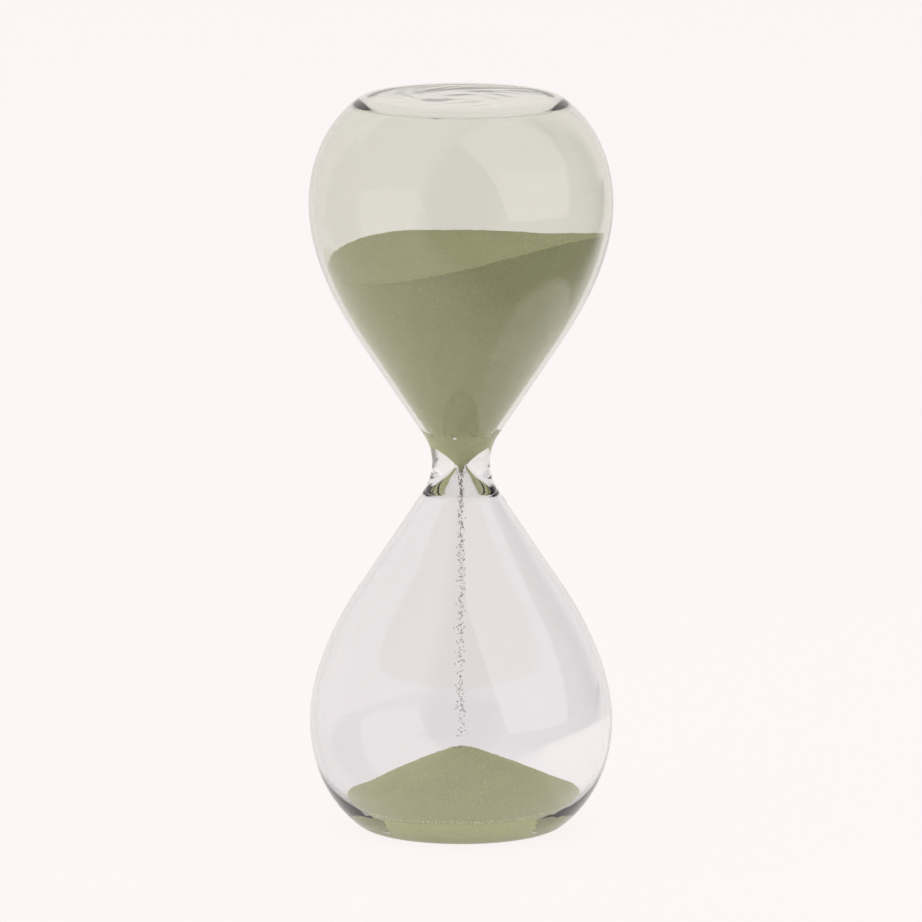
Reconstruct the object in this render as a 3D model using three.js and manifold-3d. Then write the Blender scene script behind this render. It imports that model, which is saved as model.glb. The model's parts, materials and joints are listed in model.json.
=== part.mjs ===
// A frameless blown-glass hourglass with its sand running: two bulbs that meet at a thick waist, the sand
// still in the upper one, the heap in the lower one, and the clumps of grains that fall between them.
// Millimetres, +Z up, origin at the middle of the flat base.

import * as THREE from 'three';
import { mergeVertices } from 'three/addons/utils/BufferGeometryUtils.js';
import Module from 'manifold-3d';

const wasm = await Module();
wasm.setup();

// ---- Driving dimensions ----

const HEIGHT = 200;
const HALF = HEIGHT / 2;            // each bulb, from its flat end to the middle of the waist
const BELLY_RADIUS = 41;            // the widest place
const BELLY_STATION = 29.5;         // how far the widest place is from the flat end
const FLAT_RADIUS = 26.5;           // the flat end that the hourglass stands on
const SHOULDER_ANGLE = radians(34); // how steeply the glass leaves the flat end
const CONE_STATION = 66;            // where the straight cone begins, from the flat end
const CONE_ANGLE = radians(33.7);   // half angle of the cone
const WAIST_RADIUS = 7.8;
const WAIST_FILLET = 14;            // the concave curve of the waist, outside
const SHOULDER_PULL = 16;           // how far the curve holds its direction as it leaves the flat end,
const BELLY_PULL_BELOW = 6;         // comes up to the belly,
const BELLY_PULL_ABOVE = 9.5;       // leaves the belly
const CONE_PULL = 17;               // and comes in to the cone

const WALL = 1.3;                   // blown wall
// The inside of each end: the one it stands on is thicker than the sealed one at the top.
const BASE_END = { thickness: 2.6, flatRadius: 25, angle: radians(24), pull: 14.5 };
const TOP_END = { thickness: 1.6, flatRadius: 26, angle: radians(33), pull: 15 };
const KNEE_STATION = 91.2;          // where the inside turns in from the cone to the funnel of the waist
const KNEE_ANGLE = radians(60);     // half angle of the funnel there
const THROAT_ANGLE = radians(29);   // and where it reaches the orifice
const ORIFICE_RADIUS = 1.1;
const THROAT_LENGTH = 0.4;          // the straight stretch of the orifice in each bulb

const FILL_HOLE_RADIUS = 1.8;
const FILL_HOLE_X = -6.5;
const FILL_HOLE_Y = -3;
const SEAL_BEAD_RADIUS = 3.2;       // the drop that hangs inside the fill hole
const SEAL_BEAD_DEPTH = 2;
const SEAL_RECESS = 0.2;            // how far the stem stays below the flat end

const GAP = 0.3;                    // left between pieces that touch

const SAND_LEVEL = 158.3;           // upper sand, on the axis
const SAND_RISE_X = 0.11;           // its slope along X and along Y
const SAND_RISE_Y = -0.015;
const SAND_TWIST = -0.0035;         // how the slope along X changes with Y: almost level at the back
const SAND_DISH = 0.6;              // how far the middle has sunk
const SAND_RINGS = [14, 28, BELLY_RADIUS]; // radii at which its surface is drawn
const HEAP_TOP = 21.7;
const HEAP_ANGLE = radians(25.5);   // angle of repose
const HEAP_ROUNDING = 2;
const HEAP_TILT = radians(1.5);
const HEAP_RINGS = [0, 1.5, 3, 5, 8, 14, 2 * BELLY_RADIUS]; // radii, closer together at the rounded tip

const CLUMPS = 15;                  // clumps of grains in the air at one moment
const GRAIN_RADIUS = 0.32;
const GRAIN_SPREAD = 0.17;          // how far a clump's grains lie from its middle
const GRAINS = 3;                   // in each clump
const CLUMP_TURN = radians(137.5);  // from one clump to the next
const EXIT_SPEED = 147;             // mm/s, about the square root of gravity times the orifice
const GRAVITY = 9810;               // mm/s2

const SEGMENTS = 40;                // around the axis
const SMALL_SEGMENTS = 20;          // around the fill hole
const CURVE_STEPS = 7;              // along each curve of the bulb's outline
const ARC_STEPS = 5;                // along the waist, the funnel inside it and the bead
const WELD = 1e-4;                  // points closer than this become one

// ---- Materials ----

const glass = (color) => new THREE.MeshStandardMaterial({
  color, roughness: 0.02, metalness: 0, transparent: true, opacity: 0.35, side: THREE.DoubleSide,
});
const greenishGlass = glass(0xd5d3c6);
const clearGlass = glass(0xe2dedd);
const sand = new THREE.MeshStandardMaterial({ color: 0x9c9c78, roughness: 0.95, metalness: 0 });
const fallingSand = new THREE.MeshStandardMaterial({ color: 0x96928a, roughness: 0.95, metalness: 0 });

// ---- Helpers ----

function radians(degrees) {
  return degrees * Math.PI / 180;
}

// A closed outline of [radius, height] points, turned about +Z.
function revolve(outline, segments = SEGMENTS) {
  const points = outline.map(([radius, height]) => new THREE.Vector2(radius, height));
  const geometry = new THREE.LatheGeometry(points, segments);
  geometry.rotateX(Math.PI / 2);
  return geometry;
}

function toManifold(geometry) {
  const bare = geometry.clone();
  bare.deleteAttribute('normal');
  bare.deleteAttribute('uv');
  const merged = mergeVertices(bare, WELD);
  const corners = Array.from(merged.index.array);
  const triangles = [];
  for (let i = 0; i < corners.length; i += 3) {
    const [a, b, c] = corners.slice(i, i + 3);
    if (a !== b && b !== c && c !== a) triangles.push(a, b, c);
  }
  return new wasm.Manifold(new wasm.Mesh({
    numProp: 3,
    vertProperties: Float32Array.from(merged.attributes.position.array),
    triVerts: Uint32Array.from(triangles),
  }));
}

function toGeometry(manifold) {
  const mesh = manifold.getMesh();
  const geometry = new THREE.BufferGeometry();
  geometry.setAttribute('position', new THREE.BufferAttribute(mesh.vertProperties, 3));
  geometry.setIndex(new THREE.BufferAttribute(mesh.triVerts, 1));
  geometry.computeVertexNormals();
  return geometry;
}

function cut(geometry, tool) {
  return toGeometry(toManifold(geometry).subtract(toManifold(tool)));
}

// ---- The bulb's outlines, as [radius, distance from the flat end] ----

// From the rim of a flat end, over the belly, to the end of the straight cone.
function bulbCurve({ flatRadius, flatStation, angle, pull, bellyRadius, coneRadius }) {
  const shoulder = new THREE.CubicBezierCurve(
    new THREE.Vector2(flatRadius, flatStation),
    new THREE.Vector2(flatRadius + pull * Math.cos(angle), flatStation + pull * Math.sin(angle)),
    new THREE.Vector2(bellyRadius, BELLY_STATION - BELLY_PULL_BELOW),
    new THREE.Vector2(bellyRadius, BELLY_STATION),
  );
  const flank = new THREE.CubicBezierCurve(
    new THREE.Vector2(bellyRadius, BELLY_STATION),
    new THREE.Vector2(bellyRadius, BELLY_STATION + BELLY_PULL_ABOVE),
    new THREE.Vector2(
      coneRadius + CONE_PULL * Math.sin(CONE_ANGLE),
      CONE_STATION - CONE_PULL * Math.cos(CONE_ANGLE),
    ),
    new THREE.Vector2(coneRadius, CONE_STATION),
  );
  const points = [...shoulder.getPoints(CURVE_STEPS), ...flank.getPoints(CURVE_STEPS).slice(1)];
  return points.map((point) => [point.x, point.y]);
}

const WAIST_START = HALF - WAIST_FILLET * Math.sin(CONE_ANGLE);
const WAIST_START_RADIUS = WAIST_RADIUS + WAIST_FILLET * (1 - Math.cos(CONE_ANGLE));
const OUTER_CONE_RADIUS = WAIST_START_RADIUS + (WAIST_START - CONE_STATION) * Math.tan(CONE_ANGLE);

function outerOutline() {
  const body = bulbCurve({
    flatRadius: FLAT_RADIUS, flatStation: 0, angle: SHOULDER_ANGLE, pull: SHOULDER_PULL,
    bellyRadius: BELLY_RADIUS, coneRadius: OUTER_CONE_RADIUS,
  });
  const waist = [];
  for (let step = 0; step <= ARC_STEPS; step += 1) {
    const turn = CONE_ANGLE * (1 - step / ARC_STEPS);
    waist.push([
      WAIST_RADIUS + WAIST_FILLET * (1 - Math.cos(turn)),
      HALF - WAIST_FILLET * Math.sin(turn),
    ]);
  }
  return [...body, ...waist];
}

// The funnel inside the waist, from the knee to the start of the throat, easing between their angles.
function funnel(kneeRadius, throatRadius) {
  const throatStart = HALF - THROAT_LENGTH;
  const knee = Math.tan(KNEE_ANGLE);
  const throat = Math.tan(THROAT_ANGLE);
  const reach = kneeRadius - throatRadius - throat * (throatStart - KNEE_STATION);
  const station = KNEE_STATION + reach / (knee - throat);
  const curve = new THREE.QuadraticBezierCurve(
    new THREE.Vector2(kneeRadius, KNEE_STATION),
    new THREE.Vector2(throatRadius + throat * (throatStart - station), station),
    new THREE.Vector2(throatRadius, throatStart),
  );
  return curve.getPoints(ARC_STEPS).map((point) => [point.x, point.y]);
}

// The inside of the glass, or with a gap the outline of the sand that fills it.
function innerOutline(end, gap = 0) {
  const coneRadius = OUTER_CONE_RADIUS - (WALL + gap) / Math.cos(CONE_ANGLE);
  const kneeRadius = coneRadius - Math.tan(CONE_ANGLE) * (KNEE_STATION - CONE_STATION);
  const body = bulbCurve({
    flatRadius: end.flatRadius - gap, flatStation: end.thickness + gap,
    angle: end.angle, pull: end.pull,
    bellyRadius: BELLY_RADIUS - WALL - gap, coneRadius,
  });
  return [...body, ...funnel(kneeRadius, ORIFICE_RADIUS - gap)];
}

// ---- Glass ----

function bulbSolid(end) {
  return revolve([
    [0, 0],
    ...outerOutline(),
    [ORIFICE_RADIUS, HALF],
    ...innerOutline(end).reverse(),
    [0, end.thickness],
  ]);
}

// A bulb's solid turned over, with its flat end at the top.
function turnedOver(geometry) {
  geometry.rotateX(Math.PI);
  geometry.translate(0, 0, HEIGHT);
  return geometry;
}

function upperBulb() {
  const drill = new THREE.CylinderGeometry(
    FILL_HOLE_RADIUS, FILL_HOLE_RADIUS, 3 * TOP_END.thickness, SMALL_SEGMENTS,
  );
  drill.rotateX(Math.PI / 2);
  drill.translate(FILL_HOLE_X, FILL_HOLE_Y, HEIGHT);
  return cut(turnedOver(bulbSolid(TOP_END)), drill);
}

// The drop of glass melted into the fill hole: a stem in the hole and a bead under it.
function fillHoleSeal() {
  const stemRadius = FILL_HOLE_RADIUS - GAP;
  const beadTop = -TOP_END.thickness - GAP;
  const bead = [];
  for (let step = 0; step <= ARC_STEPS; step += 1) {
    const turn = (Math.PI / 2) * (step / ARC_STEPS);
    bead.push([SEAL_BEAD_RADIUS * Math.sin(turn), beadTop - SEAL_BEAD_DEPTH * Math.cos(turn)]);
  }
  const stem = [[stemRadius, beadTop], [stemRadius, -SEAL_RECESS], [0, -SEAL_RECESS]];
  const geometry = revolve([...bead, ...stem], SMALL_SEGMENTS);
  geometry.translate(FILL_HOLE_X, FILL_HOLE_Y, HEIGHT);
  return geometry;
}

// ---- Sand at rest ----

// All the room inside a bulb, short of the glass by the gap and of the orifice by the first clump.
function bulbFilling(end) {
  const tip = HALF - GRAIN_RADIUS - GRAIN_SPREAD - GAP;
  const throatRadius = ORIFICE_RADIUS - GAP;
  const outline = innerOutline(end, GAP).slice(0, -1);
  const tipRadius = throatRadius + (HALF - THROAT_LENGTH - tip) * Math.tan(THROAT_ANGLE);
  return revolve([[0, end.thickness + GAP], ...outline, [tipRadius, tip], [0, tip]]);
}

// The upper sand's surface above its level on the axis.
function upperSandRise(x, y) {
  const sunk = SAND_DISH * Math.max(0, 1 - Math.hypot(x, y) / BELLY_RADIUS);
  return SAND_RISE_X * x + SAND_RISE_Y * y + SAND_TWIST * x * y - sunk;
}

// What lies above the upper sand: a slab with that surface as its underside.
function airOverUpperSand() {
  const underside = [0, ...SAND_RINGS].map((radius) => [radius, 0]);
  const slab = revolve([...underside, [BELLY_RADIUS, HALF], [0, HALF]]);
  const points = slab.attributes.position;
  for (let i = 0; i < points.count; i += 1) {
    if (points.getZ(i) < HALF / 2) points.setZ(i, upperSandRise(points.getX(i), points.getY(i)));
  }
  slab.translate(0, 0, SAND_LEVEL);
  return slab;
}

// What lies above the heap: a slab whose underside is a cone with a rounded tip.
function airOverHeap() {
  const underside = [];
  for (const radius of HEAP_RINGS) {
    const fall = Math.hypot(HEAP_ROUNDING, radius * Math.tan(HEAP_ANGLE)) - HEAP_ROUNDING;
    underside.push([radius, -fall]);
  }
  const slab = revolve([...underside, [HEAP_RINGS.at(-1), HEIGHT], [0, HEIGHT]]);
  slab.rotateY(-HEAP_TILT);
  slab.translate(0, 0, HEAP_TOP);
  return slab;
}

// ---- Falling sand ----

// How far below the orifice a grain is after each of the equal time steps that part the clumps: free fall
// that starts at the exit speed and ends as the last step puts a clump on the heap.
function fallDepths() {
  const total = HALF - HEAP_TOP - GRAIN_RADIUS - GRAIN_SPREAD - GAP;
  const time = (Math.sqrt(EXIT_SPEED ** 2 + 2 * GRAVITY * total) - EXIT_SPEED) / GRAVITY;
  const depths = [];
  for (let step = 0; step <= CLUMPS; step += 1) {
    const passed = time * step / CLUMPS;
    depths.push(EXIT_SPEED * passed + GRAVITY * passed ** 2 / 2);
  }
  return depths;
}

// A few grains that fall as one, each clump turned its own way.
function clump(number) {
  let joined = null;
  for (let grain = 0; grain < GRAINS; grain += 1) {
    const geometry = new THREE.IcosahedronGeometry(GRAIN_RADIUS, 0);
    const turn = CLUMP_TURN * number + 2 * Math.PI * grain / GRAINS;
    geometry.rotateX(turn);
    geometry.rotateZ(2 * turn);
    geometry.translate(
      GRAIN_SPREAD * Math.cos(turn),
      GRAIN_SPREAD * Math.sin(turn),
      GRAIN_SPREAD * (grain - (GRAINS - 1) / 2),
    );
    const solid = toManifold(geometry);
    joined = joined ? joined.add(solid) : solid;
  }
  return toGeometry(joined);
}

// ---- The hourglass ----

const hourglass = new THREE.Group();

function add(name, geometry, material, height = 0) {
  const mesh = new THREE.Mesh(geometry, material);
  mesh.name = name;
  mesh.position.z = height;
  hourglass.add(mesh);
}

add('lower_bulb', bulbSolid(BASE_END), clearGlass);
add('upper_bulb', upperBulb(), greenishGlass);
add('fill_hole_seal', fillHoleSeal(), greenishGlass);
add('lower_sand', cut(bulbFilling(BASE_END), airOverHeap()), sand);
add('upper_sand', cut(turnedOver(bulbFilling(TOP_END)), airOverUpperSand()), sand);

const depths = fallDepths();
for (let number = 1; number <= CLUMPS; number += 1) {
  const name = `falling_sand_${String(number).padStart(2, '0')}`;
  add(name, clump(number), fallingSand, HALF - depths[number - 1]);
}

export default hourglass;
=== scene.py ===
"""A frameless blown-glass hourglass with its sand running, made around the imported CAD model.

One envelope of blown glass, the sand left in its upper bulb, the heap in its lower bulb and the grains that
fall between them. Metres, +Z up, the hourglass standing on z = 0.
"""

import json
import math
import random

import bpy
import numpy as np
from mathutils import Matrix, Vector, noise

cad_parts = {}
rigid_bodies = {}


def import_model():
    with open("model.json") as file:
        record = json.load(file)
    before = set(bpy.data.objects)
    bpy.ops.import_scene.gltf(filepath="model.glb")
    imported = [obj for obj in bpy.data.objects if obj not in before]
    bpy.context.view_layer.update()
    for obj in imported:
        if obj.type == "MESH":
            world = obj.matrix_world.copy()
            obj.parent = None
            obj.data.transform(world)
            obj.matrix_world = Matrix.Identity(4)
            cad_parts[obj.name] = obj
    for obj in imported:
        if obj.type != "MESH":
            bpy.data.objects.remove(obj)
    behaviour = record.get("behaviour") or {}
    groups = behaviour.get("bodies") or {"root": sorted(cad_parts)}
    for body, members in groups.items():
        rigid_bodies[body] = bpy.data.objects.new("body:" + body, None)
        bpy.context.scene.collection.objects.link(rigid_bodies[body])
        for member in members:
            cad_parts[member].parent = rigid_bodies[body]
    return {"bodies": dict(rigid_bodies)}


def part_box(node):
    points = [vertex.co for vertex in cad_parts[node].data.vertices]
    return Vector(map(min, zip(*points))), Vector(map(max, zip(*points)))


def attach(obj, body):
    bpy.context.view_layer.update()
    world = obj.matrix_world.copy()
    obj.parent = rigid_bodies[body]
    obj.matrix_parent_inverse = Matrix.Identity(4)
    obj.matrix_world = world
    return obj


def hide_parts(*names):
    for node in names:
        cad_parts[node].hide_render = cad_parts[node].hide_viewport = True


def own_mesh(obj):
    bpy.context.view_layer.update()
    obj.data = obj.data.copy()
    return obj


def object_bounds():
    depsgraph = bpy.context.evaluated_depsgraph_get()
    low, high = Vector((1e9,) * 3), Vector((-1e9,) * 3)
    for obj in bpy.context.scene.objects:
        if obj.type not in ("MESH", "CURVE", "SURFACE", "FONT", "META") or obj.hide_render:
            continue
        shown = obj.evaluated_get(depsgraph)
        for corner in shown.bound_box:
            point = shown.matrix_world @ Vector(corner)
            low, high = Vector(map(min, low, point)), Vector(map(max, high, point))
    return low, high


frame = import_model()
CAD_LOW, CAD_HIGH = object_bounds()

# ---- Sizes, from the frame where it has them ----

MM = 0.001
HEIGHT = CAD_HIGH.z - CAD_LOW.z
HALF = HEIGHT / 2
BELLY_RADIUS = (CAD_HIGH.x - CAD_LOW.x) / 2
BELLY_STATION = 29.5 * MM           # stations are distances from a flat end
FLAT_RADIUS = 26.5 * MM
SHOULDER_ANGLE = math.radians(34)
SHOULDER_PULL = 16 * MM             # how far each curve of the outline holds its direction
BELLY_PULL_BELOW = 6 * MM
BELLY_PULL_ABOVE = 9.5 * MM
CONE_PULL = 17 * MM
CONE_STATION = 66 * MM
CONE_ANGLE = math.radians(33.7)
WAIST_RADIUS = 7.8 * MM
WAIST_FILLET = 14 * MM
RIM_ROUNDING = 2 * MM               # the rounded edge of a flat end

WALL = 1.3 * MM
# The inside of each end: thickness, radius of its flat part, angle and pull of its shoulder.
BASE_END = (2.6 * MM, 25 * MM, math.radians(24), 14.5 * MM)
TOP_END = (1.6 * MM, 26 * MM, math.radians(33), 15 * MM)
TOP_THICKNESS, TOP_INNER_RADIUS = TOP_END[:2]
INNER_ROUNDING = 3 * MM             # the soft corner round the inner floor
KNEE_STATION = 91.2 * MM            # where the inside turns in from the cone to the waist's funnel
KNEE_ANGLE = math.radians(60)
KNEE_ROUNDING = 1.2 * MM
THROAT_ANGLE = math.radians(29)
THROAT_LENGTH = 0.4 * MM
ORIFICE_RADIUS = 1.1 * MM

SEAL_LOW, SEAL_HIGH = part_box("fill_hole_seal")
SEAL_MIDDLE = (SEAL_LOW + SEAL_HIGH) / 2
SEAL_RADIUS = (SEAL_HIGH.x - SEAL_LOW.x) / 2
SEAL_DEPTH = 1 * MM                 # how far its bead hangs down,
SEAL_WIDTH = 0.7 * SEAL_RADIUS      # and how wide it is
SEAL_DENT = 0.2 * MM                # the dent over it,
SEAL_DENT_WIDTH = 0.5 * SEAL_RADIUS  # and how wide that is

# How the blown glass departs from its outline. A wave is (how far it pushes, its size, its seed).
TOP_DENT = 0.1 * MM                 # how deep the flat ends are dished
BASE_DENT = 0.4 * MM
TOP_SWIRL = 0.03 * MM               # how high the ripples in the top end are, outside
INNER_SWIRL = 0.07 * MM             # and inside
SWIRL_WINDING = 11 * MM             # the radius over which they wind by one radian
SWIRL_STRETCH = 1.6                 # how much longer they are one way than the other
SWIRL_WAVE = (1, 8 * MM, 3.0)
WALL_WAVE = (0.05 * MM, 24 * MM, 11.0)
FOLD_WAVES = ((0.2 * MM, 5 * MM, 29.0), (0.12 * MM, 2 * MM, 31.0))
FOLD_HEIGHT = 5.5 * MM              # where the folds of the lower corner are strongest,
FOLD_REACH = 2.2 * MM               # and how far they reach
WAIST_WAVE = (0.12 * MM, 3.5 * MM, 37.0)
WAIST_REACH = 9 * MM
STEADY_RADIUS = 4 * MM              # nearer to the axis than this the inside is more and more even
FLAT_WITHIN = 0.01 * MM             # what lies this close to an end is part of it, outside
INNER_FLAT_WITHIN = 0.05 * MM       # and inside

SAND_GAP = 0.1 * MM                 # air between the sand and the glass,
SAND_PRESS = -0.06 * MM             # except where its weight presses it on: the funnel,
PRESSED_FLOOR = 3.4 * MM            # the floor up to this height
PRESSED_CORNER = 7 * MM             # and by so much higher in front and at the back,
CORNER_CONTACT = (0.72, 0.72 + 0.28 / 3)  # from one sine of the angle round the axis to the other
CORNER_EDGE_WAVE = (1 * MM, 0.2, 67.0)
CORNER_EDGE = 0.5 * MM              # the height over which the contact there ends
PRESSED_ABOVE_KNEE = 2 * MM
FUNNEL_EDGE_WAVE = (3 * MM, 0.3, 71.0)
FUNNEL_EDGE = 2 * MM                # the height over which the contact in the funnel ends
SAND_BEVEL = 0.5 * MM               # the crumbled edge of its surface
SAND_LEVEL = 158.3 * MM
SAND_RISE_X = 0.11
SAND_RISE_Y = -0.015
SAND_TWIST = -3.5                   # per metre: how the slope along X changes with Y
SAND_DISH = 0.6 * MM
SAND_WAVES = ((0.3 * MM, 13 * MM, 41.0), (0.05 * MM, 2 * MM, 43.0))
SAND_TIP = 2 * MM                   # how far below the waist the running sand is still one column,
SAND_TIP_RADIUS = 0.55 * MM         # and how thin it is there
HEAP_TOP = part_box("lower_sand")[1].z
HEAP_ANGLE = math.radians(25.5)
HEAP_ROUNDING = 2 * MM
HEAP_TILT = math.radians(1.5)
HEAP_WAVE = (0.5 * MM, 10 * MM, 47.0)
HEAP_FINE_WAVE = (0.05 * MM, 1.5 * MM, 53.0)
HEAP_EVEN_RADIUS = 9 * MM           # nearer to the axis than this the heap is more and more even

CLUMPS = len([body for body in frame["bodies"] if body.startswith("falling_sand_")])
GRAIN_RADIUS = 0.17 * MM
GRAIN_SIZES = (0.7, 1.25)           # the smallest and the largest against the radius
GRAINS_PER_CLUMP = 32
LOOSE_GRAINS = 700                  # on each surface,
HEAP_REACH = 27 * MM                # out to this radius
UPPER_REACH = 33 * MM
LOOSE_SUNK = 0.3                    # how far above the surface their middles are, in grain radii
LOOSE_PAINTED_LIGHT = 1.5                   # how much paler they are, as painted light: along the edge they make a painted light line
RIM_GRAINS = 1500                   # along each edge where a surface meets the glass,
RIM_LAYER = (0.1 * MM, 0.5 * MM)    # so far inward and up from it
STREAM_SPREAD = (0.38 * MM, 0.80 * MM)  # of the stream at the waist and at the heap
STREAM_WAVE = (0.6 * MM, 7 * MM, 61.0)
LANDING_HEIGHT = 2.5 * MM           # the last stretch above the heap
LANDING_GRAINS = 20
STREWN_GRAINS = 14                  # grains that have just landed,
STREWN_SPREAD = 1.8 * MM            # and how far from the tip they lie

SEGMENTS = 192                      # round the axis
OUTLINE_STEP = 0.8 * MM             # along the outline
CURVE_POINTS = 60
SIDE_RINGS = 90                     # up the sides of a body of sand
SURFACE_RINGS = 70                  # across its surface

CLEAR_TINT = (0.954, 0.954, 0.956, 1)
GREENISH_TINT = (0.930, 0.934, 0.908, 1)
TINT_CHANGE = 3 * MM                # above and below the waist
# One sand in two shades: the upper sand's colour is darker than the heap's as painted shade.
UPPER_SAND_PAINTED_SHADE = (0.45, 0.462, 0.262)
HEAP_SAND = (0.50, 0.51, 0.275)
FALLING_SAND = (0.33, 0.30, 0.315)

PALE = (0.965, 0.913, 0.913, 1)     # the studio behind the hourglass and on its left,
HIGH = (0.90, 0.86, 0.86, 1)        # high up,
DIM = 0.26                          # and what is left of that on the camera's side and on the right
PALE_SIDE = Vector((-0.8, 0.6, 0))
PALE_FADE = (-0.35, 0.05)           # of a direction against the pale side: from dim to pale
HIGH_FADE = (0.05, 0.6)             # of a direction's height: from pale to high up
LAMP_COLOR = (1.0, 0.97, 0.965)
FLOOR_GLOW = 0.935
FLOOR_PAINTED_SHADE_FADE = (-0.2, -0.02)          # of a place against the pale side: from dim to that glow, painted shade seen in the glass
PAINTED_POOL = Vector((0.13, 0.05, 0))      # the middle of a painted pool of light on the floor, standing for the light that the softbox throws there
PAINTED_POOL_GLOW = 1.05
PAINTED_POOL_FADE = (0.11, 0.15)            # of the distance from its middle
PAINTED_SHADOW_UNDER_GLASS = 0.57                  # how much of the floor's light is left under the hourglass, as a painted shadow
PAINTED_SHADOW_FADE = (0.015, 0.045)         # of the distance from the axis

random.seed(7)


# ---- Mesh helpers ----

def new_object(name, verts, faces, material, smooth=True):
    mesh = bpy.data.meshes.new(name)
    mesh.from_pydata([tuple(v) for v in verts], [], faces)
    mesh.validate()
    if smooth:
        mesh.shade_smooth()
    mesh.materials.append(material)
    piece = bpy.data.objects.new(name, mesh)
    bpy.context.scene.collection.objects.link(piece)
    return piece


def cubic(start, first, second, end):
    t = np.linspace(0, 1, CURVE_POINTS)[:, None]
    a, b, c, d = (np.array(p, float) for p in (start, first, second, end))
    return (1 - t) ** 3 * a + 3 * (1 - t) ** 2 * t * b + 3 * (1 - t) * t**2 * c + t**3 * d


def quadratic(start, middle, end):
    t = np.linspace(0, 1, CURVE_POINTS)[:, None]
    a, b, c = (np.array(p, float) for p in (start, middle, end))
    return (1 - t) ** 2 * a + 2 * (1 - t) * t * b + t**2 * c


def distances(outline):
    """How far each point of an outline lies from its start."""
    return np.r_[0, np.cumsum(np.hypot(*np.diff(outline, axis=0).T))]


def at(outline, places):
    """The points of an outline at the given distances from its start."""
    lengths = distances(outline)
    return np.c_[np.interp(places, lengths, outline[:, 0]), np.interp(places, lengths, outline[:, 1])]


def spaced(outline, step):
    """The same outline with its points evenly spaced."""
    length = distances(outline)[-1]
    return at(outline, np.linspace(0, length, round(length / step) + 1))


def softened(outline, corner, radius):
    """The outline with its corner, given as a point on it, replaced by a small curve."""
    lengths = distances(outline)
    place = lengths[np.argmin(np.hypot(*(outline - corner).T))]
    start, end = at(outline, [place - radius, place + radius])
    before = outline[lengths < place - radius]
    after = outline[lengths > place + radius]
    return np.vstack([before, quadratic(start, corner, end), after])


def ring_faces(rings):
    """Quads between consecutive rings of vertices."""
    faces = []
    for ring in range(rings - 1):
        a = ring * SEGMENTS
        b = a + SEGMENTS
        for s in range(SEGMENTS):
            n = (s + 1) % SEGMENTS
            faces.append((a + s, a + n, b + n, b + s))
    return faces


def fan_faces(centre, ring):
    """Triangles from one vertex to the ring that starts at the given vertex."""
    return [(centre, ring + (s + 1) % SEGMENTS, ring + s) for s in range(SEGMENTS)]


def turned(faces):
    return [face[::-1] for face in faces]


def wave(x, y, z, kind):
    """Smooth noise at a place, for a kind of wave given as (how far it pushes, its size, its seed)."""
    amount, size, seed = kind
    return amount * noise.noise(Vector((x / size + seed, y / size, z / size)))


def bell(distance, width):
    """1 at no distance, fading to nothing beyond about twice the width."""
    return math.exp(-((distance / width) ** 2))


def clamped(value):
    return min(1, max(0, value))


# ---- The glass ----

def bulb_curve(flat_radius, flat_station, angle, pull, belly_radius, cone_radius):
    """From the rim of a flat end over the belly to the straight cone, as (radius, station)."""
    shoulder = cubic(
        (flat_radius, flat_station),
        (flat_radius + pull * math.cos(angle), flat_station + pull * math.sin(angle)),
        (belly_radius, BELLY_STATION - BELLY_PULL_BELOW),
        (belly_radius, BELLY_STATION),
    )
    flank = cubic(
        (belly_radius, BELLY_STATION),
        (belly_radius, BELLY_STATION + BELLY_PULL_ABOVE),
        (cone_radius + CONE_PULL * math.sin(CONE_ANGLE), CONE_STATION - CONE_PULL * math.cos(CONE_ANGLE)),
        (cone_radius, CONE_STATION),
    )
    return np.vstack([shoulder, flank[1:]])


WAIST_START = HALF - WAIST_FILLET * math.sin(CONE_ANGLE)
WAIST_START_RADIUS = WAIST_RADIUS + WAIST_FILLET * (1 - math.cos(CONE_ANGLE))
OUTER_CONE_RADIUS = WAIST_START_RADIUS + (WAIST_START - CONE_STATION) * math.tan(CONE_ANGLE)


def outer_outline():
    """Half the outside, from the middle of the flat end to the middle of the waist."""
    body = bulb_curve(FLAT_RADIUS, 0, SHOULDER_ANGLE, SHOULDER_PULL, BELLY_RADIUS, OUTER_CONE_RADIUS)
    turn = np.linspace(CONE_ANGLE, 0, CURVE_POINTS)
    waist = np.c_[
        WAIST_RADIUS + WAIST_FILLET * (1 - np.cos(turn)),
        HALF - WAIST_FILLET * np.sin(turn),
    ]
    outline = np.vstack([(OUTLINE_STEP, 0), body, waist])
    return spaced(softened(outline, body[0], RIM_ROUNDING), OUTLINE_STEP)


def inner_outline(end):
    """Half the inside, from the middle of a flat end to the middle of the orifice."""
    thickness, flat_radius, angle, pull = end
    cone_radius = OUTER_CONE_RADIUS - WALL / math.cos(CONE_ANGLE)
    body = bulb_curve(flat_radius, thickness, angle, pull, BELLY_RADIUS - WALL, cone_radius)
    knee = (cone_radius - math.tan(CONE_ANGLE) * (KNEE_STATION - CONE_STATION), KNEE_STATION)
    lip = (ORIFICE_RADIUS, HALF - THROAT_LENGTH)
    steep, gentle = math.tan(KNEE_ANGLE), math.tan(THROAT_ANGLE)
    reach = knee[0] - lip[0] - gentle * (lip[1] - knee[1])
    station = knee[1] + reach / (steep - gentle)
    funnel = quadratic(knee, (lip[0] + gentle * (lip[1] - station), station), lip)
    outline = np.vstack([(OUTLINE_STEP, thickness), body, funnel, (lip[0], HALF)])
    outline = softened(outline, body[0], INNER_ROUNDING)
    outline = softened(outline, knee, KNEE_ROUNDING)
    return spaced(outline, OUTLINE_STEP)


def turned_over(outline):
    """The same outline for the other bulb, from the waist up."""
    return outline[::-1] * (1, -1) + (0, HEIGHT)


def swirl(x, y):
    """Ripples left in a flat end, wound round the axis as the glass was turned while soft."""
    radius = math.hypot(x, y)
    turn = math.atan2(y, x) + radius / SWIRL_WINDING
    return wave(radius * math.cos(turn), radius * math.sin(turn) * SWIRL_STRETCH, 0, SWIRL_WAVE)


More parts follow.
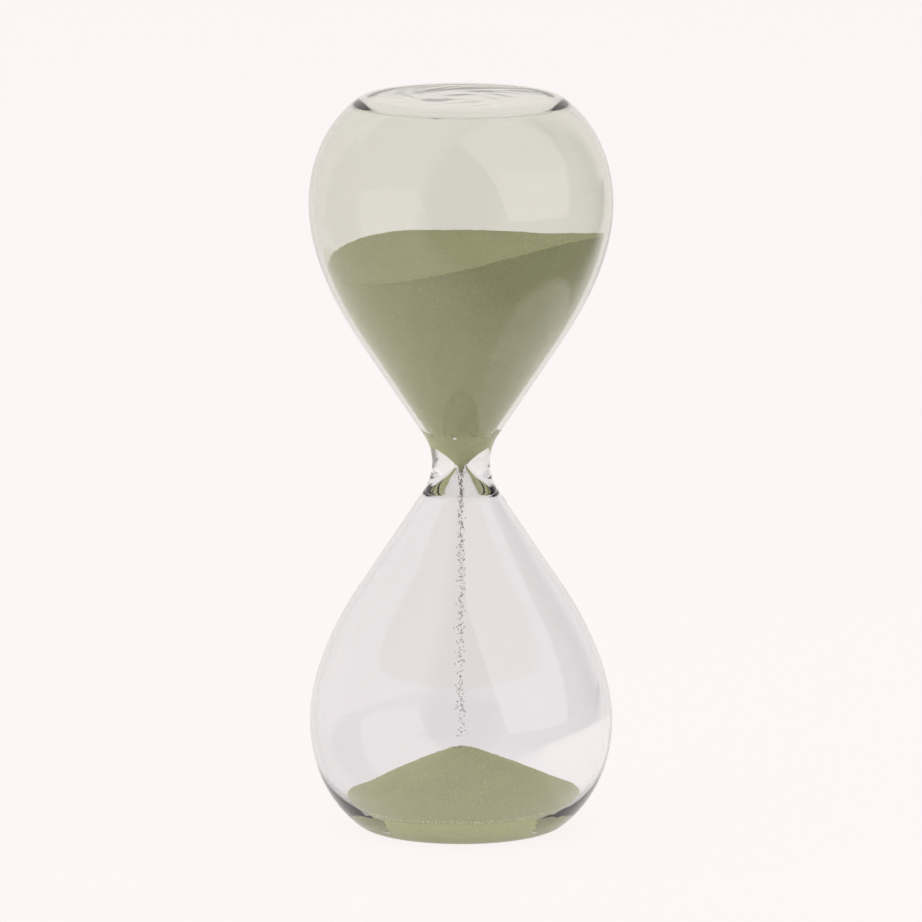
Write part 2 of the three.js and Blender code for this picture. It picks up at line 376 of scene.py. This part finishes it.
def near_seal(x, y, width):
    """How close a place is to the middle of the seal: 1 over it, fading over the width."""
    return bell(math.hypot(x - SEAL_MIDDLE.x, y - SEAL_MIDDLE.y), width)


def unevenness(x, y, z):
    """How far the inside bulges into the bulb: the wall is never quite even, least of all in the corner."""
    wall = wave(x, y, z / 2, WALL_WAVE)
    folds = sum(wave(x, y, z, fold) for fold in FOLD_WAVES)
    waist = bell(z - HALF, WAIST_REACH) * wave(x, y, z, WAIST_WAVE)
    return wall + bell(z - FOLD_HEIGHT, FOLD_REACH) * folds + waist


def inner_point(radius, height, angle):
    """A point of the inside of the glass, uneven as blown."""
    x, y = radius * math.cos(angle), radius * math.sin(angle)
    if height > HEIGHT - TOP_THICKNESS - INNER_FLAT_WITHIN:
        bead = SEAL_DEPTH * near_seal(x, y, SEAL_WIDTH)
        fade = max(0, 1 - (radius / TOP_INNER_RADIUS) ** 2)
        return (x, y, height - bead - INNER_SWIRL * fade * swirl(x, y))
    push = unevenness(x, y, height) * min(1, radius / STEADY_RADIUS)
    factor = (radius - push) / radius
    return (x * factor, y * factor, height)


def outer_point(radius, height, angle):
    """A point of the outside of the glass, with shallow dents in its flat ends."""
    x, y = radius * math.cos(angle), radius * math.sin(angle)
    middle = max(0, 1 - (radius / (FLAT_RADIUS - RIM_ROUNDING)) ** 2)
    if height > HEIGHT - FLAT_WITHIN:
        dent = TOP_DENT + TOP_SWIRL * swirl(x, y) + SEAL_DENT * near_seal(x, y, SEAL_DENT_WIDTH)
        return (x, y, height - middle * dent)
    if height < FLAT_WITHIN:
        return (x, y, middle * BASE_DENT)
    return (x, y, height)


def shell(outline, place):
    """A closed surface turned from an outline whose ends are near the axis."""
    angles = [2 * math.pi * s / SEGMENTS for s in range(SEGMENTS)]
    verts = [place(radius, height, angle) for radius, height in outline for angle in angles]
    centres = [(0, 0, np.mean([v[2] for v in ring])) for ring in (verts[:SEGMENTS], verts[-SEGMENTS:])]
    faces = ring_faces(len(outline))
    faces += fan_faces(len(verts), 0)
    faces += turned(fan_faces(len(verts) + 1, len(verts) - SEGMENTS))
    return verts + centres, faces


def glass_envelope():
    """The outside of the glass, and its inside as a second surface that faces the hollow."""
    outer = outer_outline()
    verts, faces = shell(np.vstack([outer, turned_over(outer)[1:]]), outer_point)
    lower, upper = inner_outline(BASE_END), turned_over(inner_outline(TOP_END))
    inside, inside_faces = shell(np.vstack([lower, upper[1:]]), inner_point)
    faces += [tuple(len(verts) + i for i in face) for face in turned(inside_faces)]
    piece = new_object("glass_envelope", verts + inside, faces, blown_glass())
    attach(piece, "glass")
    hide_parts("upper_bulb", "lower_bulb", "fill_hole_seal")


# ---- Materials ----

def node_material(name):
    material = bpy.data.materials.new(name)
    material.use_nodes = True
    nodes = material.node_tree.nodes
    nodes.clear()
    return material, nodes, material.node_tree.links


def blown_glass():
    """Clear glass, greenish in the upper bulb, that lets the lamps through to the sand."""
    material, nodes, links = node_material("blown_glass")
    out = nodes.new("ShaderNodeOutputMaterial")
    glass = nodes.new("ShaderNodeBsdfGlass")
    glass.inputs["Roughness"].default_value = 0.0
    glass.inputs["IOR"].default_value = 1.5
    clear = nodes.new("ShaderNodeBsdfTransparent")
    path = nodes.new("ShaderNodeLightPath")
    for_lamps = nodes.new("ShaderNodeMixShader")
    for_sand = nodes.new("ShaderNodeMixShader")
    where = nodes.new("ShaderNodeNewGeometry")
    split = nodes.new("ShaderNodeSeparateXYZ")
    height = nodes.new("ShaderNodeMapRange")
    height.inputs["From Min"].default_value = HALF - TINT_CHANGE
    height.inputs["From Max"].default_value = HALF + TINT_CHANGE
    tint = nodes.new("ShaderNodeMix")
    tint.data_type = "RGBA"
    tint.inputs["A"].default_value = CLEAR_TINT
    tint.inputs["B"].default_value = GREENISH_TINT
    links.new(where.outputs["Position"], split.inputs["Vector"])
    links.new(split.outputs["Z"], height.inputs["Value"])
    links.new(height.outputs["Result"], tint.inputs["Factor"])
    links.new(tint.outputs["Result"], glass.inputs["Color"])
    links.new(tint.outputs["Result"], clear.inputs["Color"])
    links.new(path.outputs["Is Shadow Ray"], for_lamps.inputs["Fac"])
    links.new(glass.outputs[0], for_lamps.inputs[1])
    links.new(clear.outputs[0], for_lamps.inputs[2])
    links.new(path.outputs["Is Diffuse Ray"], for_sand.inputs["Fac"])
    links.new(for_lamps.outputs[0], for_sand.inputs[1])
    links.new(clear.outputs[0], for_sand.inputs[2])
    links.new(for_sand.outputs[0], out.inputs["Surface"])
    return material


def sand_material(name, base):
    """Fine sand: every grain its own shade, a few of them pale, over faint broad patches."""
    material, nodes, links = node_material(name)
    out = nodes.new("ShaderNodeOutputMaterial")
    skin = nodes.new("ShaderNodeBsdfPrincipled")
    skin.inputs["Roughness"].default_value = 0.85
    skin.inputs["Specular IOR Level"].default_value = 0.25
    where = nodes.new("ShaderNodeNewGeometry")
    grain = nodes.new("ShaderNodeTexVoronoi")
    grain.inputs["Scale"].default_value = 1 / (2 * GRAIN_RADIUS)
    grey = nodes.new("ShaderNodeSeparateColor")
    ramp = nodes.new("ShaderNodeValToRGB")
    stops = ((0.0, 0.94), (0.5, 0.99), (0.93, 1.03), (1.0, 1.25))
    for _ in range(len(stops) - 2):
        ramp.color_ramp.elements.new(0.5)
    for element, (place, level) in zip(ramp.color_ramp.elements, stops):
        element.position = place
        element.color = (*(level * channel for channel in base), 1)
    patch = nodes.new("ShaderNodeTexNoise")
    patch.inputs["Scale"].default_value = 1 / (7 * MM)
    patch.inputs["Detail"].default_value = 3.0
    spread = nodes.new("ShaderNodeMapRange")
    spread.inputs["To Min"].default_value = 0.93
    spread.inputs["To Max"].default_value = 1.07
    shade = nodes.new("ShaderNodeVectorMath")
    shade.operation = "SCALE"
    bump = nodes.new("ShaderNodeBump")
    bump.inputs["Strength"].default_value = 0.3
    bump.inputs["Distance"].default_value = 0.1 * MM
    links.new(where.outputs["Position"], grain.inputs["Vector"])
    links.new(where.outputs["Position"], patch.inputs["Vector"])
    links.new(grain.outputs["Color"], grey.inputs["Color"])
    links.new(grey.outputs["Red"], ramp.inputs["Fac"])
    links.new(patch.outputs["Fac"], spread.inputs["Value"])
    links.new(ramp.outputs["Color"], shade.inputs["Vector"])
    links.new(spread.outputs["Result"], shade.inputs["Scale"])
    links.new(shade.outputs["Vector"], skin.inputs["Base Color"])
    links.new(grain.outputs["Distance"], bump.inputs["Height"])
    links.new(bump.outputs["Normal"], skin.inputs["Normal"])
    links.new(skin.outputs[0], out.inputs["Surface"])
    return material


# ---- Sand at rest ----

def upper_surface(x, y):
    """Height of the upper sand: level at the back, sloping in front, sunk a little in the middle."""
    dish = SAND_DISH * max(0, 1 - math.hypot(x, y) / BELLY_RADIUS)
    uneven = sum(wave(x, y, 0, kind) for kind in SAND_WAVES)
    return SAND_LEVEL + SAND_RISE_X * x + SAND_RISE_Y * y + SAND_TWIST * x * y - dish + uneven


def heap_surface(x, y):
    """Height of the lower heap: a cone with a rounded tip, uneven further out."""
    radius = math.hypot(x, y)
    fall = math.hypot(HEAP_ROUNDING, radius * math.tan(HEAP_ANGLE)) - HEAP_ROUNDING
    uneven = wave(x, y, 0, HEAP_WAVE) * min(1, radius / HEAP_EVEN_RADIUS)
    return HEAP_TOP - fall + x * math.tan(HEAP_TILT) + uneven + wave(x, y, 0, HEAP_FINE_WAVE)


def top_of_sand(outline, surface, angle):
    """How far along the outline the sand's surface meets the glass at an angle."""
    c, s = math.cos(angle), math.sin(angle)
    over = [height - surface(radius * c, radius * s) for radius, height in outline]
    above = next(i for i, value in enumerate(over) if value > 0)
    lengths = distances(outline)
    share = over[above - 1] / (over[above - 1] - over[above])
    return lengths[above - 1] + share * (lengths[above] - lengths[above - 1])


def offset(outline, distance):
    """The outline moved out by a distance, square to itself."""
    ahead = np.gradient(outline, axis=0)
    outward = np.c_[ahead[:, 1], -ahead[:, 0]] / np.hypot(*ahead.T)[:, None]
    return outline + outward * distance


def pressed(height, angle):
    """How far the sand is pressed against the glass at a place, from 0 to 1."""
    c, s = math.cos(angle), math.sin(angle)
    if height > HALF:
        reach = HEIGHT - KNEE_STATION + PRESSED_ABOVE_KNEE + wave(c, s, 0, FUNNEL_EDGE_WAVE)
        return clamped((reach - height) / FUNNEL_EDGE)
    start, full = CORNER_CONTACT
    facing = clamped((abs(s) - start) / (full - start))
    reach = PRESSED_FLOOR + facing * (PRESSED_CORNER + wave(c, s, 0, CORNER_EDGE_WAVE))
    return clamped((reach - height) / CORNER_EDGE)


def sand_point(loose, tight, angle):
    """A point of the sand's side, between its loose and its tightly pressed place."""
    share = pressed(loose[1], angle)
    radius, height = (1 - share) * loose + share * tight
    x, y, _ = inner_point(radius, height, angle)
    return (x, y, height)


def sand_body(name, outline, surface, node, base):
    """Sand that fills the glass along the outline, from the outline's start up to the surface."""
    angles = [2 * math.pi * s / SEGMENTS for s in range(SEGMENTS)]
    loose, tight = offset(outline, -SAND_GAP), offset(outline, -SAND_PRESS)
    tops = [top_of_sand(loose, surface, angle) - SAND_BEVEL for angle in angles]
    verts = []
    for level in range(SIDE_RINGS + 1):
        places = np.array(tops) * level / SIDE_RINGS
        rings = zip(at(loose, places), at(tight, places), angles)
        verts += [sand_point(*point) for point in rings]
    rim = verts[-SEGMENTS:]
    for step in range(1, SURFACE_RINGS):
        share = 1 - step / SURFACE_RINGS
        for x, y, _ in rim:
            verts.append((x * share, y * share, surface(x * share, y * share)))
    faces = ring_faces(SIDE_RINGS + SURFACE_RINGS)
    verts.append((0, 0, surface(0, 0)))
    faces += turned(fan_faces(len(verts) - 1, len(verts) - 1 - SEGMENTS))
    verts.append((0, 0, loose[0][1]))
    faces += fan_faces(len(verts) - 1, 0)
    piece = new_object(name, verts, faces, sand_material(name, base))
    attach(piece, "glass")
    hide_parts(node)
    return rim


def resting_sand():
    """The heap, and the sand above it that runs through the orifice as a thin column."""
    lower = inner_outline(BASE_END)
    edge = sand_body("heaped_sand", lower, heap_surface, "lower_sand", HEAP_SAND)
    loose_grains("loose_grains_on_heap", heap_surface, HEAP_REACH, edge, HEAP_SAND)
    column_end = (SAND_TIP_RADIUS, HALF - SAND_TIP)
    upper = np.vstack([column_end, turned_over(inner_outline(TOP_END))])
    edge = sand_body("waiting_sand", upper, upper_surface, "upper_sand", UPPER_SAND_PAINTED_SHADE)
    loose_grains("loose_grains_on_upper_sand", upper_surface, UPPER_REACH, edge, UPPER_SAND_PAINTED_SHADE)


def loose_grains(name, surface, reach, edge, base):
    """Single grains, a little paler as painted light, that lie on a surface of sand and close together
    along its edge, where they make a painted light line.
    """
    places = []
    for _ in range(RIM_GRAINS):
        s = random.randrange(SEGMENTS)
        x, y, z = Vector(edge[s - 1]).lerp(Vector(edge[s]), random.random())
        inward = 1 - random.uniform(*RIM_LAYER) / math.hypot(x, y)
        places.append((x * inward, y * inward, z + random.uniform(*RIM_LAYER)))
    for _ in range(LOOSE_GRAINS):
        radius = reach * math.sqrt(random.random())
        angle = random.uniform(0, 2 * math.pi)
        x, y = radius * math.cos(angle), radius * math.sin(angle)
        places.append((x, y, surface(x, y) + LOOSE_SUNK * GRAIN_RADIUS))
    # painted light: the grains are coloured paler than the sand they lie on
    paler = tuple(LOOSE_PAINTED_LIGHT * channel for channel in base)
    piece = grains(name, places, sand_material(name, paler))
    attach(piece, "glass")


# ---- Falling sand ----

def pebble():
    """A rough grain of unit size: two uneven rings of five corners between two tips."""
    verts = [(0, 0, 1)]
    for radius, z, start in ((0.85, 0.5, 0.0), (0.95, -0.4, math.pi / 5)):
        for s in range(5):
            angle = start + 2 * math.pi * s / 5
            reach = radius * random.uniform(0.75, 1.1)
            level = z + random.uniform(-0.15, 0.15)
            verts.append((reach * math.cos(angle), reach * math.sin(angle), level))
    verts.append((0, 0, -1))
    faces = []
    for s in range(5):
        n = (s + 1) % 5
        faces.append((0, 1 + s, 1 + n))
        faces.append((1 + s, 6 + s, 1 + n))
        faces.append((6 + s, 6 + n, 1 + n))
        faces.append((11, 6 + n, 6 + s))
    return verts, faces


def grains(name, places, material):
    """One piece of many separate grains at the given places."""
    verts, faces = [], []
    for place in places:
        corners, sides = pebble()
        size = GRAIN_RADIUS * random.uniform(*GRAIN_SIZES)
        turn = Vector([random.uniform(-1, 1) for _ in range(3)]).normalized().to_track_quat("Z", "Y")
        first = len(verts)
        verts += [Vector(place) + size * (turn @ Vector(corner)) for corner in corners]
        faces += [tuple(first + i for i in side) for side in sides]
    return new_object(name, verts, faces, material, smooth=False)


def stream_places(top, bottom, count):
    """Places for grains of the stream between two heights: it widens and wavers as it falls."""
    narrow, wide = STREAM_SPREAD
    places = []
    for _ in range(count):
        z = random.uniform(bottom, top)
        fallen = (HALF - z) / (HALF - HEAP_TOP)
        spread = narrow + (wide - narrow) * fallen
        waver = wave(0, 0, z, STREAM_WAVE) * fallen
        places.append((waver + random.gauss(0, spread), random.gauss(0, spread), z))
    return places


def falling_sand():
    """Grains round each falling clump of the frame, reaching half way to the clumps above and below it."""
    material = sand_material("falling_grains", FALLING_SAND)
    boxes = [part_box(f"falling_sand_{number:02d}") for number in range(1, CLUMPS + 1)]
    middles = [(low.z + high.z) / 2 for low, high in boxes]
    lowest = boxes[-1][0].z
    edges = [HALF - SAND_TIP] + [(a + b) / 2 for a, b in zip(middles, middles[1:])] + [lowest]
    for number, (top, bottom) in enumerate(zip(edges, edges[1:]), start=1):
        node = f"falling_sand_{number:02d}"
        places = stream_places(top, bottom, GRAINS_PER_CLUMP)
        piece = grains(f"falling_grains_{number:02d}", places, material)
        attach(piece, node)
        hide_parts(node)
    landing = stream_places(lowest, HEAP_TOP + LANDING_HEIGHT, LANDING_GRAINS)
    for _ in range(STREWN_GRAINS):
        landing.append((random.gauss(0, STREWN_SPREAD), random.gauss(0, STREWN_SPREAD), HEAP_TOP))
    piece = grains("landing_grains", landing, material)
    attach(piece, "glass")
    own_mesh(piece)


# ---- Studio ----

def ramp_over(nodes, links, source, span, low, high):
    """A smooth step of a value from low to high as the source goes over the span."""
    step = nodes.new("ShaderNodeMapRange")
    step.interpolation_type = "SMOOTHSTEP"
    step.inputs["From Min"].default_value = span[0]
    step.inputs["From Max"].default_value = span[1]
    step.inputs["To Min"].default_value = low
    step.inputs["To Max"].default_value = high
    links.new(source, step.inputs["Value"])
    return step.outputs["Result"]


def toward_pale_side(nodes, links, source):
    """How far a point or a direction lies toward the pale side of the studio."""
    side = nodes.new("ShaderNodeVectorMath")
    side.operation = "DOT_PRODUCT"
    side.inputs[1].default_value = PALE_SIDE
    links.new(source, side.inputs[0])
    return side.outputs["Value"]


def surroundings():
    """A studio that is pale behind and on the left, and dim on the camera's side and on the right."""
    world = bpy.data.worlds.new("studio")
    bpy.context.scene.world = world
    world.use_nodes = True
    nodes, links = world.node_tree.nodes, world.node_tree.links
    nodes.clear()
    out = nodes.new("ShaderNodeOutputWorld")
    sky = nodes.new("ShaderNodeBackground")
    where = nodes.new("ShaderNodeTexCoord").outputs["Generated"]
    split = nodes.new("ShaderNodeSeparateXYZ")
    links.new(where, split.inputs["Vector"])
    color = nodes.new("ShaderNodeMix")
    color.data_type = "RGBA"
    color.inputs["A"].default_value = PALE
    color.inputs["B"].default_value = HIGH
    links.new(ramp_over(nodes, links, split.outputs["Z"], HIGH_FADE, 0, 1), color.inputs["Factor"])
    links.new(color.outputs["Result"], sky.inputs["Color"])
    side = toward_pale_side(nodes, links, where)
    links.new(ramp_over(nodes, links, side, PALE_FADE, DIM, 1), sky.inputs["Strength"])
    links.new(sky.outputs[0], out.inputs["Surface"])


def softbox(name, azimuth, elevation, distance, width, height, radiance):
    """A rectangle of light that faces the hourglass. Azimuth runs from the camera's side to the right."""
    azimuth, elevation = math.radians(azimuth), math.radians(elevation)
    level = distance * math.cos(elevation)
    away = Vector((level * math.sin(azimuth), -level * math.cos(azimuth), distance * math.sin(elevation)))
    light = bpy.data.lights.new(name, "AREA")
    light.shape = "RECTANGLE"
    light.size, light.size_y = width, height
    light.energy = math.pi * radiance * width * height
    light.color = LAMP_COLOR
    lamp = bpy.data.objects.new(name, light)
    lamp.location = Vector((0, 0, HALF)) + away
    lamp.rotation_euler = away.to_track_quat("Z", "Y").to_euler()
    bpy.context.scene.collection.objects.link(lamp)


def pale_floor():
    """A wide sheet that glows like the surroundings, so that only a faint shadow shows on it.

    In the glass its glow carries painted light and shade: a painted shadow under the hourglass, painted
    shade on the camera's side and on the right, as the rest of the studio is dim there, and a painted pool
    of light under the softbox.
    """
    reach = 12.0
    steps = 64
    material, nodes, links = node_material("pale_floor")
    out = nodes.new("ShaderNodeOutputMaterial")
    paper = nodes.new("ShaderNodeBsdfDiffuse")
    paper.inputs["Color"].default_value = (0.1, 0.1, 0.1, 1)
    glow = nodes.new("ShaderNodeEmission")
    glow.inputs["Color"].default_value = PALE
    place = nodes.new("ShaderNodeNewGeometry").outputs["Position"]
    side = toward_pale_side(nodes, links, place)
    from_pool = nodes.new("ShaderNodeVectorMath")
    from_pool.operation = "DISTANCE"
    from_pool.inputs[1].default_value = PAINTED_POOL
    links.new(place, from_pool.inputs[0])
    camera_ray = nodes.new("ShaderNodeLightPath").outputs["Is Camera Ray"]
    # painted shade in the floor's glow on the camera's side and on the right
    level = ramp_over(nodes, links, side, FLOOR_PAINTED_SHADE_FADE, DIM, FLOOR_GLOW)
    from_axis = nodes.new("ShaderNodeVectorMath")
    from_axis.operation = "LENGTH"
    links.new(place, from_axis.inputs[0])
    # a painted shadow in the floor's glow under the hourglass
    under = ramp_over(nodes, links, from_axis.outputs["Value"], PAINTED_SHADOW_FADE, PAINTED_SHADOW_UNDER_GLASS, 1)
    # a painted pool of light in the floor's glow
    pool = ramp_over(nodes, links, from_pool.outputs["Value"], PAINTED_POOL_FADE, PAINTED_POOL_GLOW, 0)
    brighter = nodes.new("ShaderNodeMath")
    brighter.operation = "MAXIMUM"
    links.new(level, brighter.inputs[0])
    links.new(pool, brighter.inputs[1])
    shaded = nodes.new("ShaderNodeMath")
    shaded.operation = "MULTIPLY"
    links.new(brighter.outputs["Value"], shaded.inputs[0])
    links.new(under, shaded.inputs[1])
    seen = nodes.new("ShaderNodeMix")
    seen.inputs["B"].default_value = FLOOR_GLOW
    links.new(camera_ray, seen.inputs["Factor"])
    links.new(shaded.outputs["Value"], seen.inputs["A"])
    links.new(seen.outputs["Result"], glow.inputs["Strength"])
    both = nodes.new("ShaderNodeAddShader")
    links.new(paper.outputs[0], both.inputs[0])
    links.new(glow.outputs[0], both.inputs[1])
    links.new(both.outputs[0], out.inputs["Surface"])
    angles = [2 * math.pi * s / steps for s in range(steps)]
    verts = [(reach * math.cos(angle), reach * math.sin(angle), 0) for angle in angles]
    new_object("pale_floor", verts, [tuple(range(steps))], material, smooth=False)


def camera():
    """A long lens a little above the hourglass, looking along +Y."""
    distance = 3.0
    elevation = math.radians(10)
    across = 0.249                  # width of the picture at the hourglass
    data = bpy.data.cameras.new("camera")
    data.sensor_width = 36
    data.lens = data.sensor_width * distance / across
    data.clip_end = 100
    view = bpy.data.objects.new("camera", data)
    target = Vector((0, 0, HALF + 0.4 * MM))
    view.location = target + distance * Vector((0, -math.cos(elevation), math.sin(elevation)))
    view.rotation_euler = (view.location - target).to_track_quat("Z", "Y").to_euler()
    bpy.context.scene.collection.objects.link(view)
    bpy.context.scene.camera = view


bpy.context.scene.view_settings.view_transform = "Standard"
camera()
surroundings()
pale_floor()
softbox("key_right", azimuth=62, elevation=34, distance=1.2, width=1.5, height=2.4, radiance=0.75)
glass_envelope()
resting_sand()
falling_sand()
